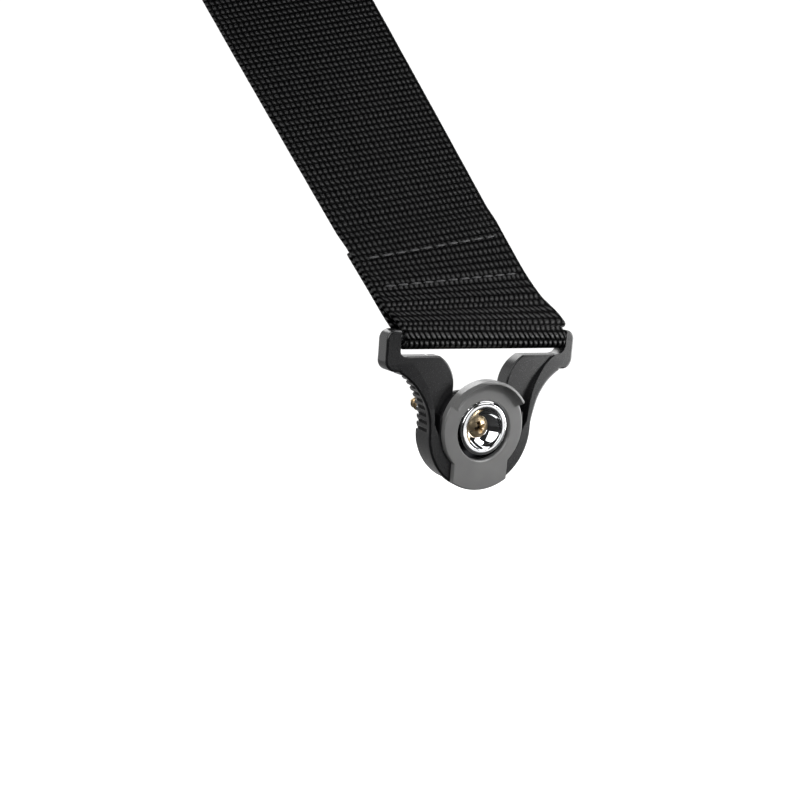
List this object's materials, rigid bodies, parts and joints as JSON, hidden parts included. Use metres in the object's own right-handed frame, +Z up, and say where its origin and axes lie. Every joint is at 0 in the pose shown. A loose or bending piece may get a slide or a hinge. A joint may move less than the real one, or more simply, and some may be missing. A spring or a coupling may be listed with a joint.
{
  "type": "locking guitar strap end",
  "caption": "Self-locking strap end of webbing and a nylon lock with a sprung thumb slide, clipped over a dished strap button with its screw and felt washer.",
  "frame": {"origin": "on the strap button's axis, in the face of the guitar that the felt washer sits on", "axes": "+Y into the guitar along the button's screw, +Z up from the button towards the strap, +X to the right of someone who looks at the front of the lock"},
  "size_m": [0.091, 0.1207, 0.1772],
  "materials": {
    "nylon_black": "moulded nylon, satin, finely textured",
    "slide_grey": "moulded nylon, satin",
    "plate_steel": "stamped and tumbled",
    "zinc_steel": "zinc plated",
    "spring_steel": "drawn wire",
    "button_chrome": "polished chrome plate",
    "screw_brass": "machined, slightly dulled",
    "washer_felt": "pressed felt",
    "strap_webbing": "woven webbing with a slight sheen",
    "strap_thread": "bonded thread",
    "ring_steel": "nickel plated wire"
  },
  "bodies": {
    "strap": {"webbing": "strap_webbing", "lower_stitching": "strap_thread", "upper_stitching": "strap_thread"},
    "ring": {"strap_ring": "ring_steel"},
    "lock": {"front_shell": "nylon_black", "rear_cover": "nylon_black", "hub_screws": "zinc_steel", "arm_screws": "zinc_steel", "strap_bar": "zinc_steel", "neck_plate": "plate_steel", "plate_rivets": "zinc_steel", "spring_pins": "zinc_steel", "left_spring": "spring_steel", "right_spring": "spring_steel"},
    "slide": {"thumb_slide": "slide_grey", "slide_carrier": "slide_grey", "carrier_screws": "zinc_steel"},
    "button": {"strap_button": "button_chrome", "button_screw": "screw_brass", "felt_washer": "washer_felt"}
  },
  "joints": [
    {"name": "lock_swing", "type": "hinge", "parent": "strap", "child": "lock", "pos_m": [0, -0.0085, 0.0223], "axis": [1, 0, 0], "range_deg": [-110, 60]},
    {"name": "slide_travel", "type": "slide", "parent": "lock", "child": "slide", "axis": [0, 0, 1], "range_m": [0, 0.0055], "stiffness_N_per_m": 400, "springref_m": -0.003, "deforming": ["left_spring", "right_spring"]},
    {"name": "button_turn", "type": "hinge", "parent": "slide", "child": "button", "pos_m": [0, 0, 0], "axis": [0, 1, 0], "continuous": true},
    {"name": "ring_swing", "type": "hinge", "parent": "strap", "child": "ring", "pos_m": [-0.03203, 0.08902, 0.13567], "axis": [0.938, -0.0808, 0.337], "range_deg": [-120, 120]}
  ]
}
